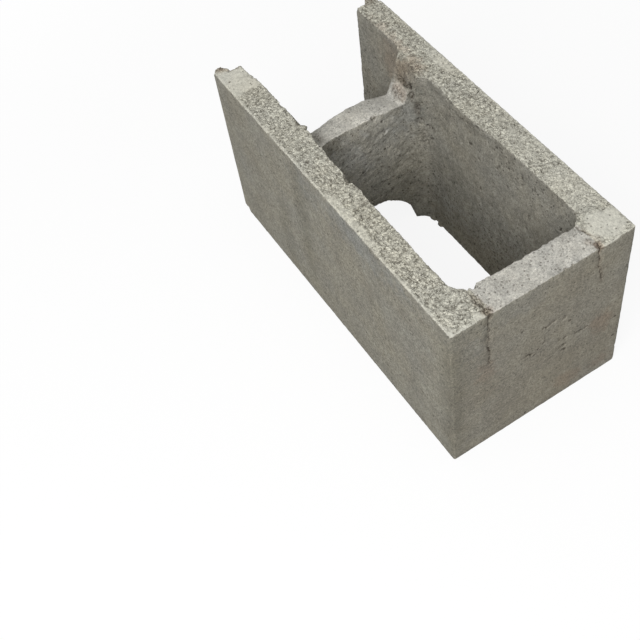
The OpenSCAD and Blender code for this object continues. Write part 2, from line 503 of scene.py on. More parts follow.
# Sub-assemblies
@dataclass
class WallTops:
    """The open stone tops of the two long walls and of the closed end's corners.

    Attributes:
        height: Level of the tops, in mm.
        half_width: Half width of the block.
        front: Where the closed end's outer face lies along y.
        rim: Width of the smoother strip along the outer arrises.
        fade: Depth over which the relief dies away down the faces.
        gap_depth: Depth of the gaps between the stones.
        coarse: The larger stones.
        fine: The smaller stones between them.
        pebbles: Place and two half sizes of each single large stone.
        filled: Middle, half sizes and strength of each place smoothed by paste.
    """

    height: float = HEIGHT
    half_width: float = HALF_WIDTH
    front: float = -HALF_LENGTH
    rim: float = 3.8
    fade: float = 13.0
    gap_depth: float = 2.0
    coarse: StoneLayer = StoneLayer(4.4, 1.4, 3.1, 0.62, 0.7, 11)
    fine: StoneLayer = StoneLayer(2.4, 0.95, 1.6, 1.0, 0.8, 12)
    pebbles: tuple[tuple[float, float, float, float], ...] = (
        (-88.7, -32, 5.2, 3.4), (-87.5, 135.5, 3.6, 2.6), (101.5, -162, 5.5, 4), (87, -101.5, 4, 3.2),
        (90, 93, 3.6, 2.4), (96, 127, 3, 2.2), (-85, -209, 4.2, 3.2), (-113.5, 110.5, 2.6, 4.5),
        (-98, 62, 3.4, 2.4), (104, -8, 4.2, 2.6), (-104, -118, 3.6, 2.6), (112.5, -114, 5.2, 3.6),
        (90.5, -34, 4, 2.8),
    )
    filled: tuple[tuple[float, float, float, float, float], ...] = (
        (-104, 215, 26, 32, 0.95),
        (97, -228, 27, 24, 0.9),
        (111, 90, 8, 34, 0.6),
        (83, 98, 9, 20, 0.35),
        (99, -172, 30, 46, 0.42),
        (104, -84, 22, 34, 0.32),
        (-116, -60, 8, 60, 0.6),
        (-80, -245, 9, 5, 0.8),
        (-117, -247, 6, 6, 1),
    )

    def smoothness(self, p: np.ndarray) -> np.ndarray:
        """Share of cement paste that fills the gaps between the stones.

        Args:
            p: Places on the tops, in mm.

        Returns:
            The share at each place, 0 open to 1 smooth.
        """
        wander = Noise(16.0, 2, 13).at(p)
        edge = np.minimum(self.half_width - np.abs(p[:, 0]), p[:, 1] - self.front)
        rim = smooth(self.rim + 1.5, self.rim - 2.5, edge + 1.6 * Noise(9.0, 2, 14).at(p))
        paste = np.maximum(0.65 * rim, 0.45 * smooth(0.35, 0.9, wander))
        for x, y, rx, ry, amount in self.filled:
            d = np.hypot((p[:, 0] - x) / rx, (p[:, 1] - y) / ry) + 0.25 * wander
            paste = np.maximum(paste, amount * smooth(1.05, 0.7, d))
        return paste

    def bedded(self, p: np.ndarray) -> tuple[np.ndarray, np.ndarray]:
        """The stones as they lie side by side, before paste.

        Args:
            p: Places on the tops, in mm.

        Returns:
            Height and tint of the highest stone at each place.
        """
        warp = 0.8 * Noise(5.0, 2, 15).at(p)
        big, big_tint = self.coarse.lay(p[:, 0] + warp, p[:, 1] - warp)
        small, small_tint = self.fine.lay(p[:, 0] - warp, p[:, 1] + warp)
        small -= 0.2
        stones = np.maximum(big, small)
        tint = np.where(big > small, 0.25 + 0.7 * big_tint, 0.1 + 0.8 * small_tint)
        for x, y, long_half, short_half in self.pebbles:
            d = ((p[:, 0] - x) * 0.8 + (p[:, 1] - y) * 0.6) ** 2 / short_half ** 2
            d += ((p[:, 1] - y) * 0.8 - (p[:, 0] - x) * 0.6) ** 2 / long_half ** 2
            cap = -0.1 - 1.6 * (1.0 - np.sqrt(np.clip(1.0 - d + 0.2 * warp, 0.0, 1.0)))
            here = (d < 1.0) & (cap > stones)
            stones, tint = np.where(here, cap, stones), np.where(here, 1.15, tint)
        return stones, tint

    def shape(self, skin: Skin) -> None:
        """Beds the stones into both tops and marks their tints and the painted shade of their gaps.

        Args:
            skin: The skin being shaped.
        """
        i = np.flatnonzero(skin.p[:, 2] > self.height - self.fade)
        z, p = skin.p[i, 2], flattened(skin.p[i])
        panel = PANEL.share(p)
        stones, tint = self.bedded(p)
        h = np.maximum(stones, -self.gap_depth * (0.8 + 0.7 * Noise(7.0, 1, 16).at(p)))
        h += 0.18 * Noise(1.7, 1, 17).at(p)
        paste = self.smoothness(p)
        flush = -0.25 + 0.22 * Noise(5.0, 3, 18).at(p) - 0.25 * smooth(0.2, 0.9, -h / self.gap_depth)
        h = blend(h, flush, paste) + 0.35 * Noise(30.0, 2, 19).at(p)
        h = np.minimum(h, -0.02) * (1.0 - panel)
        skin.move[i, 2] += h * below(self.height, self.fade, z)
        top = skin.faces_up(i) * smooth(2.5, 1.2, self.height - z) * (1.0 - panel)
        skin.zones[Zone.OPEN][i] = top
        skin.marks[Mark.TONE][i] = blend(0.5, tint, top)
        # Painted shade in the gaps between the stones, less where paste fills them
        gap = smooth(0.6, 1.0, -h / self.gap_depth) * (1.0 - 0.6 * paste)
        skin.marks[Mark.HOLLOW][i] = 0.8 * gap * top
        skin.marks[Mark.PASTE][i] = paste * top


@dataclass(frozen=True)
class Panel:
    """The knock-out panel of the closed end, seen from above.

    Attributes:
        left: Where its left joint lies along x, in mm.
        right: Where its right joint lies.
        inner: Where it ends along y, at the main core.
        ragged: How far its left edge strays; the right one strays less.
    """

    left: float = -67.5
    right: float = 72.5
    inner: float = -204.5
    ragged: float = 1.6

    def share(self, flat: np.ndarray) -> np.ndarray:
        """Where the panel lies.

        Args:
            flat: Places on the tops, in mm.

        Returns:
            1 on the panel and 0 off it, with a ragged edge, for each place.
        """
        x, stray = flat[:, 0], self.ragged * Noise(5.0, 2, 25).at(flat)
        from_left = smooth(self.left - 1.0, self.left + 1.0, x + stray)
        from_right = smooth(self.right + 1.0, self.right - 1.0, x + 0.4 * stray)
        return from_left * from_right * smooth(self.inner + 1.5, self.inner - 1.5, flat[:, 1])


PANEL = Panel()


@dataclass
class ClosedEnd:
    """The closed end: pressed panel top, the joints beside it and the scored face.

    Attributes:
        level: Height of the panel, in mm.
        face: Where the outer face lies along y.
        back: How far back the panel's relief goes along y.
        fade: Depth over which its relief dies away.
        skew: How far the panel's inner edge swings out and in.
        spots: Broken places, worn arrises and flakes.
        trails: The joint over the top and the two score lines down the face.
        pits: Place along x and z and half size of each pit in the face.
    """

    level: float = HEIGHT - 1.0
    face: float = -HALF_LENGTH
    back: float = -202.0
    fade: float = 9.0
    skew: float = 1.2
    spots: tuple[Spot, ...] = (
        Spot((84, -249, 250), (16, 7, 9), (0, 0, -2.2)),
        Spot((25.5, -250, 249), (3.2, 2.6, 2.6), (0, 2.2, -1.6), dark=0.4),
        Spot((35, -250, 249), (2.4, 2.2, 2.2), (0, 1.8, -1.2), dark=0.4),
        Spot((-70.5, -213, 249), (3.5, 5, 9), (0, -3.5, -3), 0.8, 0.1, 0.3),
        Spot((-63, -211, 249), (5, 4.5, 8), (1, -3.5, -2), 0.4),
        Spot((-71.5, -229, 249), (6.5, 17, 6), (0, 0, -1), 2.4, 0.35, 1, 2.2),
        Spot((-70.5, -245, 249), (8.5, 8.5, 7.5), (0, 0.8, -2.2), 3.4, 0.65, 1, 2.4),
        Spot((-71, -250, 244), (4.5, 2.5, 6), (0, 1.6, 0), 1.4, 0.6, 1, 2.2),
        Spot((72.5, -246, 248.5), (6.5, 8, 6), (0, 1.2, -1.8), 2.6, 1, 1, 2.2),
        Spot((66, -236, 249.5), (5.5, 6, 4), (0, 0, 0.9), 1.8, 0.35, 0.8, 2.2),
        Spot((71, -250, 243), (3.6, 2.2, 7), (0, 1.2, 0), 1, 0.8, 0.9, 2.4),
        Spot((77, -238, 249.5), (5.5, 6, 4), (0, 0, 0.9), 1.8, 0.3, 0.8, 2.2),
        Spot((119, -249, 30), (3, 3, 5), (-1.2, 1, 0), 0.5),
    )
    trails: tuple[Trail, ...] = (
        Trail(((70, -211, 249), (72.5, -221, 249), (75, -231, 249), (74, -243, 249),
               (72, -250, 249)), 1.2, (0, 0, -2.4), 0.3, 5, 0.35, 0.8),
        Trail(((-71.8, -250, 244), (-71.8, -250, 222), (-72.6, -250, 200), (-71.4, -250, 182),
               (-70, -250, 160)), 2.1, (0, 2, 0), 0.9, 3.8, 0.2, 1),
        Trail(((71.5, -250, 240), (72.5, -250, 220), (78, -250, 198), (79, -250, 188)),
              1.4, (0, 1.8, 0), 0.9, 4.5, 0.35, 1),
    )
    pits: tuple[tuple[float, float, float], ...] = (
        (34, 104.5, 3.4), (34.5, 118, 2.6), (27.5, 120, 2.2), (29.5, 104, 2.4), (33.5, 96, 2.4),
        (2.5, 163, 2.7), (6.5, 160.5, 2.2), (11, 162, 2.3), (14.5, 164, 2.2), (17.5, 164, 2.7),
        (30.5, 159, 2.4), (51.5, 113.5, 2.5), (56, 113, 2.5), (60, 111.5, 2.1), (66, 113, 2.5),
        (-17.5, 128.5, 2.6), (-12.5, 125.5, 2.8), (-8, 121, 2.2), (16, 94.5, 1.9), (-3.5, 129, 1.9),
        (-27, 181.5, 2.2), (3.5, 134, 1.9),
    )

    def shape(self, skin: Skin) -> None:
        """Gives the panel its pressed grain, then breaks the joints and the face.

        Args:
            skin: The skin being shaped.
        """
        self.press(skin)
        for mark in (*self.spots, *self.trails):
            mark.mark(skin)
        for x, z, half in self.pits:
            Spot((x, self.face, z), (1.4 * half, 3.0, 1.15 * half), (0.0, half, 0.0), dark=1.0).mark(skin)

    def press(self, skin: Skin) -> None:
        """Grains and pits the panel, and skews its inner edge.

        Args:
            skin: The skin being shaped.
        """
        i = np.flatnonzero((skin.p[:, 2] > self.level - self.fade) & (skin.p[:, 1] < self.back))
        z, p = skin.p[i, 2], flattened(skin.p[i])
        panel, reach = PANEL.share(p), below(self.level, self.fade, z)
        grain = Noise(3.2, 3, 21).at(p)
        h = 0.34 * grain + 0.3 * Noise(14.0, 2, 22).at(p) - 0.1
        h -= 1.1 * smooth(0.4, 0.75, Noise(2.6, 1, 23).at(p))
        skin.move[i, 2] += h * panel * reach
        top = skin.faces_up(i) * smooth(3.5, 2.5, self.level - z) * panel
        skin.press(i, grain, top)
        # Painted shade in the panel's pits
        skin.raise_mark(Mark.HOLLOW, i, 0.8 * top * smooth(-0.35, -1.1, h))
        tilt = 2.0 * smooth(-60.0, -20.0, p[:, 0]) - 1.0
        inner = panel * smooth(-226.0, -212.0, p[:, 1])
        skin.move[i, 1] += self.skew * inner * reach * (-tilt + Noise(7.0, 2, 24).at(p))


@dataclass
class CrossWeb:
    """The cross web: crowned saddle, torn near face and the broken right flank.

    Attributes:
        near: Where its near face lies along y at the saddle, in mm.
        far: Where its far face lies there.
        crown: Height of the saddle's floor at its middle.
        fall: How much the floor falls from there to each side.
        half: Half width of the floor.
        half_thick: Half thickness of the web under the floor.
        rock_left: How far the floor's left side is rocked, down at the far edge and up at the near one.
        rock_right: The same for its right side.
        saddle_from: Height from which a face that looks up is the saddle's.
        shift: How far the saddle lies off the middle.
        draft: How much its near face leans over the height.
        near_level: Height at which that face lies at near.
        tear: Depth of the torn relief on the near face.
        band: Depth within which that relief dies away.
        low: Lower corner of the box that the web lies in.
        high: Upper corner of that box.
        spots: Broken places.
        trails: The crack along the left wall.
    """

    near: float = 89.4
    far: float = 123.6
    crown: float = HEIGHT - 37.5
    fall: float = 7.0
    half: float = 60.0
    half_thick: float = 17.0
    rock_left: float = 3.6
    rock_right: float = 3.0
    saddle_from: float = 150.0
    shift: float = -4.5
    draft: float = DRAFT
    near_level: float = 210.0
    tear: float = 0.75
    band: float = 13.0
    low: Point = (-90.0, 75.0, 30.0)
    high: Point = (90.0, 140.0, 249.5)
    spots: tuple[Spot, ...] = (
        Spot((71, 105, 238), (14, 26, 20), (0.9, 0, 0), 2, 0.28, 0.55, 2.6, Zone.DRAWN),
        Spot((60, 104, 214), (10, 19, 14), (-2, 0, 2.6), 1.5, 0.3, 0.75, 2.4, Zone.PRESSED),
        Spot((65, 104, 229.5), (7, 17, 5), (3, 0, -2), 3, 0.4, 1, 2.4),
        Spot((66, 89.5, 231), (5.5, 5.5, 5.5), (6, 2.4, -2.4), 0, 0.5, 1),
        Spot((66.5, 87, 219), (5.5, 5.5, 9), (2, 2.5, 0), 2.4, 0.3, 1, 2.6),
        Spot((71, 82, 197), (5, 6, 16), (1.2, 1.2, 0), 1.6, 0.4, 0.8, 2.8),
        Spot((73, 80, 177), (7, 7, 8), (2, 2, 0), 2.4, 0.2, 1, 2.8),
        Spot((80, 69, 171), (5, 9, 5.5), (1.6, 0.6, 0), 2.2, 0.1, 1, 2.8),
        Spot((76, 76, 150), (8, 9, 20), (0.8, 0.8, 0), 1.6, 0.1, 0.6, 2.8),
        Spot((80, 96, 249.5), (13, 22, 6), (0, 0, -0.8), 1.4, 0.35, 0.8, 2.4),
        Spot((-82, 103, 250), (4, 18, 5), (-0.8, 0, -0.8), 1.8, 0.1, 1, 2.4),
        Spot((-60, 108, 206), (9, 17, 8), (0, 0, -1), 1.6, 0.1, 0.7, 2.8),
        Spot((12, 89.4, 211), (5, 5, 5), (0, 3.4, -1.6), 0.5, 0, 1),
        Spot((-82.5, 95, 250), (6, 5, 9), (5.4, 0, 0)),
        Spot((40, 86, 42), (34, 12, 30), (-1.6, 0, -1)),
    )
    trails: tuple[Trail, ...] = (
        Trail(((-66, 90, 212), (-66, 106, 209), (-66, 124, 207)), 1.4, (0, 0, -1.8), 0.1, 5, 0.1, 0.9),
    )

    def shape(self, skin: Skin) -> None:
        """Grains the saddle, tears the near face and breaks the flank.

        Args:
            skin: The skin being shaped.
        """
        i = skin.near(self.low, self.high)
        self.press_saddle(skin, i)
        self.tear_face(skin, i)
        for mark in (*self.spots, *self.trails):
            mark.mark(skin)

    def press_saddle(self, skin: Skin, i: np.ndarray) -> None:
        """Tilts the floor of the saddle to and fro and gives it its grain.

        Args:
            skin: The skin being shaped.
            i: Numbers of the vertices round the web.
        """
        flat = flattened(skin.p[i])
        x, y, z = flat[:, 0] - self.shift, flat[:, 1], skin.p[i, 2]
        floor = self.crown - self.fall * (x / self.half) ** 2
        on_floor = smooth(10.0, 2.0, np.abs(z - floor))
        on_floor *= smooth(self.half + 4.0, self.half - 4.0, np.abs(x))
        across = np.clip((y - 0.5 * (self.near + self.far)) / self.half_thick, -1.3, 1.3)
        rock = self.rock_left * smooth(10.0, 50.0, -x) + self.rock_right * smooth(25.0, 52.0, x) + 0.4
        lift = -across * rock - 0.8 * smooth(20.0, 55.0, x)
        grain = Noise(3.4, 3, 61).at(flat)
        lift += 0.3 * grain + 0.7 * Noise(12.0, 2, 62).at(flat)
        skin.move[i, 2] += lift * on_floor
        up = skin.faces_up(i) * smooth(HEIGHT - 1.0, HEIGHT - 4.0, z)
        skin.press(i, grain, up * smooth(80.0, 76.0, np.abs(x)) * (z > self.saddle_from))

    def tear_face(self, skin: Skin, i: np.ndarray) -> None:
        """Gives the near face its torn ledges and holes.

        Args:
            skin: The skin being shaped.
            i: Numbers of the vertices round the web.
        """
        p = skin.p[i]
        depth = p[:, 1] - (self.near - self.draft * (self.near_level - p[:, 2]) / HEIGHT)
        ledge = Noise(12.0, 3, 63, (2.1, 1.0, 0.8)).at(skewed(p))
        holes = Noise(4.5, 1, 66).at(p)
        tear = self.tear * ledge + Noise(38.0, 2, 64, (1.6, 1.0, 1.0)).at(p)
        tear += 0.5 * Noise(3.0, 2, 65).at(p) + 0.9 * smooth(0.5, 0.85, holes)
        reach = smooth(self.band, 0.0, np.abs(depth)) * smooth(88.0, 70.0, np.abs(p[:, 0]))
        skin.move[i, 1] += tear * reach
        at_face = smooth(3.0, 1.0, np.abs(depth))
        # Painted shade on the deeper torn ledges and in the holes
        skin.raise_mark(Mark.HOLLOW, i, 0.5 * at_face * smooth(0.7, 1.2, ledge))
        skin.raise_mark(Mark.HOLLOW, i, 0.8 * at_face * smooth(0.55, 0.85, holes))


def skewed(p: np.ndarray) -> np.ndarray:
    """Points with z sheared along x, so that torn ledges rise to the right.

    Args:
        p: Points in mm.

    Returns:
        The sheared points.
    """
    q = p.copy()
    q[:, 2] -= 0.3 * p[:, 0]
    return q


@dataclass
class CoredFaces:
    """The drawn faces of the main core and of the open bay.

    Attributes:
        main: The closed opening.
        bay: The open bay, which runs on past the tongues.
        drag: Depth of the drawn relief, in mm.
        band: Depth within which that relief dies away.
        give_way: Places along y between which the main core's relief gives way to the web's.
        spots: Dents and lumps of the inner arrises.
    """

    main: Core = Core(HALF_WIDTH - WALL_FOOT, END_FOOT - HALF_LENGTH,
                      WEB_MIDDLE - WEB_FOOT / 2.0 - HALF_LENGTH, 15.0, 26.0)
    bay: Core = Core(HALF_WIDTH - BAY_WALL_FOOT, WEB_MIDDLE + WEB_FOOT / 2.0 - HALF_LENGTH,
                     HALF_LENGTH + 170.0, 25.0, 25.0)
    drag: float = 0.5
    band: float = 13.0
    give_way: tuple[float, float] = (60.0, 78.0)
    spots: tuple[Spot, ...] = (
        Spot((-84, -7, 250), (9, 8.5, 13), (-5, 0, 0), 1),
        Spot((-82, -28, 250), (8, 9, 10), (1.2, 0, 0), 0.5),
        Spot((-82, 82, 250), (8, 9, 14), (2, 0, 0), 0.6),
        Spot((-82, 52, 250), (8, 14, 14), (1.6, 0, 0), 0.6),
        Spot((82, -6, 252), (14, 52, 26), (-3.9, 0, 0), 0.2),
        Spot((82, 50, 250), (8, 24, 20), (-1.5, 0, 0), 0.5),
        Spot((-83, -150, 250), (8, 30, 12), (-0.9, 0, 0), 0.6),
        Spot((-86, 174, 252), (12, 46, 40), (5, 0, 0), 0.4),
        Spot((-86, 225, 252), (10, 26, 30), (1.2, 0, 0), 0.3),
        Spot((76, 126, 250), (9, 15, 44), (3.6, 2, 0), 0.4),
        Spot((79, 52, 0), (6, 6, 7), (-3.4, 0, 0), 0.6),
        Spot((78, 68, 0), (7, 7, 9), (-2, -2.5, 0), 0.8),
    )

    def shape(self, skin: Skin) -> None:
        """Draws relief down both openings and dents their arrises.

        Args:
            skin: The skin being shaped.
        """
        torn, wide = Noise(9.0, 3, 71, (1.0, 1.0, 1.8)), Noise(42.0, 2, 72)
        for core in (self.main, self.bay):
            depth, way = core.beyond(skin.p)
            i = np.flatnonzero(np.abs(depth) < self.band + 1.0)
            p, holes = skin.p[i], Noise(5.0, 1, 74).at(skin.p[i])
            amount = self.drag * torn.at(p) + 0.35 * wide.at(p) + 0.25 * Noise(2.6, 1, 73).at(p)
            amount += 1.2 * smooth(0.45, 0.8, holes)
            reach = smooth(self.band, 0.5, np.abs(depth[i]))
            if core is self.main:
                reach = reach * smooth(self.give_way[1], self.give_way[0], p[:, 1])
            skin.move[i] += way[i] * (amount * reach)[:, None]
            on = smooth(2.2, 0.8, np.abs(depth[i])) * (np.abs(skin.n[i, 2]) < 0.6)
            skin.raise_zone(Zone.DRAWN, i, on)
            # Painted shade in the holes of the drawn faces
            skin.raise_mark(Mark.HOLLOW, i, 0.9 * on * smooth(0.5, 0.8, holes))
        for mark in self.spots:
            mark.mark(skin)


@dataclass
class CastFaces:
    """The dense outer faces, the tongues, the bed and their worn arrises.

    Attributes:
        half_width: Half width of the block, in mm.
        half_length: Half length of the block.
        height: Height of the block.
        proud: How far the tongues stand proud of the walls' shoulders.
        wear: How far the arrises are worn back.
        strip: Width of the worn strip along each arris.
        spots: Chipped corners and flakes.
    """

    half_width: float = HALF_WIDTH
    half_length: float = HALF_LENGTH
    height: float = HEIGHT
    proud: float = 13.0
    wear: float = 0.55
    strip: float = 2.5
    spots: tuple[Spot, ...] = (
        Spot((-120, 240, 0), (4, 9, 9), (1.5, -2.5, 2), 0.5),
        Spot((-120, 111, 250), (3, 3, 3), (1.6, 0, -1.2), 0.4, 0, 0.6),
        Spot((117, 236, 248), (6, 8, 12), (-1.6, -3.5, -1), 0.8),
        Spot((-118.5, 247, 250), (4, 4, 6), (0.6, -0.6, -0.3), 0.3),
        Spot((-108, 246, 250.5), (11, 5, 4), (0, 0, -0.6), 1.8, 0.6, 1, 2.4),
        Spot((-95, 237, 250.5), (12, 5, 4), (0, 0, -0.6), 1.8, 0.5, 1, 2.4),
        Spot((-111.5, 218, 250.5), (2, 2, 2.5), (0, 0, -1.6), 0, 0, 1),
        Spot((120, -249, 2), (4, 4, 4), (-1.2, 1, 0.8), 0.3),
    )

    def shape(self, skin: Skin) -> None:
        """Waves the mould faces a little and wears the arrises.

        Args:
            skin: The skin being shaped.
        """
        x, y, z = skin.p.T
        shoulder = self.half_length - self.proud
        gap_x, gap_z = self.half_width - np.abs(x), np.minimum(z, self.height - z)
        gap_y = np.abs(np.minimum(y + self.half_length, shoulder - y))
        gaps = np.sort(np.stack([gap_x, gap_y, gap_z]), axis=0)
        arris = np.flatnonzero(gaps[1] < self.strip)
        worn = self.wear * (0.75 + 0.75 * Noise(6.0, 3, 81).at(skin.p[arris]))
        worn *= smooth(self.strip, 0.0, gaps[1][arris])
        skin.move[arris] -= skin.n[arris] * np.maximum(worn, 0.0)[:, None]
        faces = np.flatnonzero((gaps[0] < 0.4) & (np.abs(skin.n[:, 2]) < 0.7))
        q = skin.p[faces]
        wave = 0.1 + 0.1 * Noise(38.0, 2, 82).at(q) + 0.09 * Noise(6.0, 2, 83).at(q)
        skin.move[faces] -= skin.n[faces] * np.maximum(wave, 0.0)[:, None]
        for mark in self.spots:
            mark.mark(skin)


# Node wiring
class Tree:
    """A node tree being wired, with short calls for the nodes that recur."""

    def __init__(self, tree: bpy.types.NodeTree) -> None:
        """Wires into the given tree."""
        self.tree = tree

    def add(self, kind: str, values: dict[Any, Any] | None = None, **settings: Any) -> bpy.types.Node:
        """Adds a shader node.

        Args:
            kind: Its type without the ShaderNode part.
            values: What its inputs get, a number, colour or another node's output.
            settings: Properties of the node itself.

        Returns:
            The new node.
        """
        node = self.tree.nodes.new("ShaderNode" + kind)
        for name, value in settings.items():
            setattr(node, name, value)
        for key, value in (values or {}).items():
            self.give(node.inputs[key], value)
        return node

    def give(self, socket: Socket, value: Any) -> None:
        """Links a socket to an output, or sets its value.

        Args:
            socket: The input.
            value: Another node's output, or a plain value.
        """
        if isinstance(value, Socket):
            self.tree.links.new(value, socket)
        else:
            socket.default_value = value

    def math(self, operation: str, a: Any, b: Any = 0.0) -> Socket:
        """Output of a math node on a and b."""
        return self.add("Math", {0: a, 1: b}, operation=operation).outputs[0]

    def times(self, a: Any, b: Any) -> Socket:
        """Product of a and b."""
        return self.math("MULTIPLY", a, b)

    def plus(self, a: Any, b: Any) -> Socket:
        """Sum of a and b."""
        return self.math("ADD", a, b)

    def minus(self, a: Any, b: Any) -> Socket:
        """Difference of a and b."""
        return self.math("SUBTRACT", a, b)

    def larger(self, a: Any, b: Any) -> Socket:
        """The larger of a and b."""
        return self.math("MAXIMUM", a, b)

    def vector(self, operation: str, a: Any, b: Any) -> Socket:
        """Vector output of a vector math node on a and b."""
        return self.add("VectorMath", {0: a, 1: b}, operation=operation).outputs[0]

    def length(self, a: Any) -> Socket:
        """Length of a vector."""
        return self.add("VectorMath", {0: a}, operation="LENGTH").outputs["Value"]

    def grey(self, value: Any) -> Socket:
        """Grey colour of a value."""
        return self.add("CombineColor", {0: value, 1: value, 2: value}).outputs[0]

    def swung(self, wave: Any, strength: Any) -> Socket:
        """Grey that swings about 1 as the wave swings about a half."""
        swing = self.times(self.minus(wave, 0.5), self.times(strength, 5.0))
        return self.grey(self.plus(swing, 1.0))

    def tinted(self, colour: Any, by: Any, share: Any = 1.0) -> Socket:
        """Colour multiplied by another one, as far as the share goes."""
        return self.mix(share, colour, by, "MULTIPLY")

    def mix(self, share: Any, a: Any, b: Any, blend_type: str = "MIX") -> Socket:
        """Colour between a and b, with share 1 giving b."""
        node = self.add("Mix", {0: share, 6: a, 7: b}, data_type="RGBA", blend_type=blend_type)
        return node.outputs[2]

    def step(self, value: Any, low: Any, high: Any, to_low: Any = 0.0, to_high: Any = 1.0) -> Socket:
        """Smooth step of value between low and high."""
        node = self.add("MapRange", {0: value, 1: low, 2: high, 3: to_low, 4: to_high},
                        interpolation_type="SMOOTHSTEP")
        return node.outputs[0]

    def noise(self, vector: Any, scale: Any, detail: float = 3.0, rough: float = 0.5) -> Socket:
        """Value of a noise texture at the vector."""
        values = {"Vector": vector, "Scale": scale, "Detail": detail, "Roughness": rough}
        return self.add("TexNoise", values).outputs["Fac"]

    def mark(self, mark: Mark) -> Socket:
        """A mark of the mesh as a value."""
        return self.add("Attribute", attribute_name=mark.value).outputs["Fac"]


class Effect:
    """A shader node group with named inputs, Vector as the first, and named outputs.

    Attributes:
        name: The group's name.
        inputs: Socket type and starting value for each input name after Vector.
        outputs: Socket type for each output name.
    """

    name: str
    inputs: dict[str, tuple[str, Any]]
    outputs: dict[str, str]

    def build(self) -> bpy.types.NodeTree:
        """Makes the group on first use, and gives the same one after that.

        Returns:
            The group.
        """
        group = bpy.data.node_groups.get(self.name)
        if group:
            return group
        group = bpy.data.node_groups.new(self.name, "ShaderNodeTree")
        for name, (kind, start) in {"Vector": ("Vector", (0, 0, 0)), **self.inputs}.items():
            socket = group.interface.new_socket(name, in_out="INPUT", socket_type="NodeSocket" + kind)
            socket.default_value = start
        for name, kind in self.outputs.items():
            group.interface.new_socket(name, in_out="OUTPUT", socket_type="NodeSocket" + kind)
        tree = Tree(group)
        given = group.nodes.new("NodeGroupInput").outputs
        made = self.wire(tree, given)
        out = group.nodes.new("NodeGroupOutput")
        for name in self.outputs:
            tree.give(out.inputs[name], made[name])
        return group

    def wire(self, tree: Tree, given: Any) -> dict[str, Socket]:
        """Wires the inside of the group.

        Args:
            tree: The group's tree.
            given: Its inputs, by name.

        Returns:
            One socket for each output name.
        """
        raise NotImplementedError

    def place(self, tree: Tree, **values: Any) -> Any:
        """Places the group in a material.

        Args:
            tree: The material's tree.
            values: What its inputs get, by name.

        Returns:
            The outputs, by name.
        """
        node = tree.tree.nodes.new("ShaderNodeGroup")
        node.node_tree = self.build()
        for name, value in values.items():
            tree.give(node.inputs[name], value)
        return node.outputs


class MottledTone(Effect):
    """Cloudy change between two tones, large and small."""

    name = "mottled_tone"
    inputs = {"Scale": ("Float", 20.0), "Pale": ("Color", (1, 1, 1, 1)), "Deep": ("Color", (0, 0, 0, 1)),
              "Sharpness": ("Float", 1.0)}
    outputs = {"Color": "Color"}

    def wire(self, tree: Tree, given: Any) -> dict[str, Socket]:
        """Noise, stretched by the sharpness, between the two tones.

        Args:
            tree: The group's tree.
            given: Its inputs, by name.

        Returns:
            One socket for each output name.
        """
        cloud = tree.noise(given["Vector"], given["Scale"], 6.0, 0.62)
        half = tree.math("DIVIDE", 0.22, given["Sharpness"])
        mask = tree.step(cloud, tree.minus(0.5, half), tree.plus(0.5, half))
        return {"Color": tree.mix(mask, given["Deep"], given["Pale"])}


class SandGrain(Effect):
    """Fine sand: a shade to multiply by and a height for the bump."""

    name = "sand_grain"
    inputs = {"Strength": ("Float", 0.2), "Fineness": ("Float", 1.0)}
    outputs = {"Shade": "Color", "Height": "Float"}

    def wire(self, tree: Tree, given: Any) -> dict[str, Socket]:
        """Two sizes of grain, about 2 mm and 4 mm.

        Args:
            tree: The group's tree.
            given: Its inputs, by name.

        Returns:
            One socket for each output name.
        """
        small = tree.noise(given["Vector"], tree.times(given["Fineness"], 560.0), 2.0, 0.6)
        large = tree.noise(given["Vector"], tree.times(given["Fineness"], 230.0), 2.0, 0.5)
        both = tree.plus(tree.times(small, 0.6), tree.times(large, 0.4))
        return {"Shade": tree.swung(both, given["Strength"]), "Height": both}


class PinHoles(Effect):
    """Small air holes scattered over a face, masked for painted shade."""

    name = "pin_holes"
    inputs = {"Scale": ("Float", 150.0), "Radius": ("Float", 0.2), "Share": ("Float", 0.3)}
    outputs = {"Mask": "Float"}

    def wire(self, tree: Tree, given: Any) -> dict[str, Socket]:
        """One hole in some of the cells, each with its own size.

        Args:
            tree: The group's tree.
            given: Its inputs, by name.

        Returns:
            One socket for each output name.
        """
        cells = tree.add("TexVoronoi", {"Vector": given["Vector"], "Scale": given["Scale"]})
        chance = tree.add("SeparateColor", {0: cells.outputs["Color"]}).outputs
        radius = tree.times(given["Radius"], tree.plus(chance[1], 0.35))
        hole = tree.step(cells.outputs["Distance"], radius, tree.times(radius, 0.45))
        return {"Mask": tree.times(hole, tree.math("LESS_THAN", chance[0], given["Share"]))}


class SoftPatch(Effect):
    """A stain or tint with a ragged soft edge round one place."""

    name = "soft_patch"
    inputs = {"Middle": ("Vector", (0, 0, 0)), "Reach": ("Vector", (0.03, 0.03, 0.03)),
              "Ragged": ("Float", 1.0)}
    outputs = {"Mask": "Float"}

    def wire(self, tree: Tree, given: Any) -> dict[str, Socket]:
        """Distance from the middle, in reaches, broken up by noise.

        Args:
            tree: The group's tree.
            given: Its inputs, by name.

        Returns:
            One socket for each output name.
        """
        away = tree.vector("SUBTRACT", given["Vector"], given["Middle"])
        reaches = tree.length(tree.vector("DIVIDE", away, given["Reach"]))
        wander = tree.minus(tree.noise(given["Vector"], 70.0, 4.0, 0.6), 0.5)
        d = tree.plus(reaches, tree.times(wander, given["Ragged"]))
        return {"Mask": tree.step(d, 1.0, 0.25)}


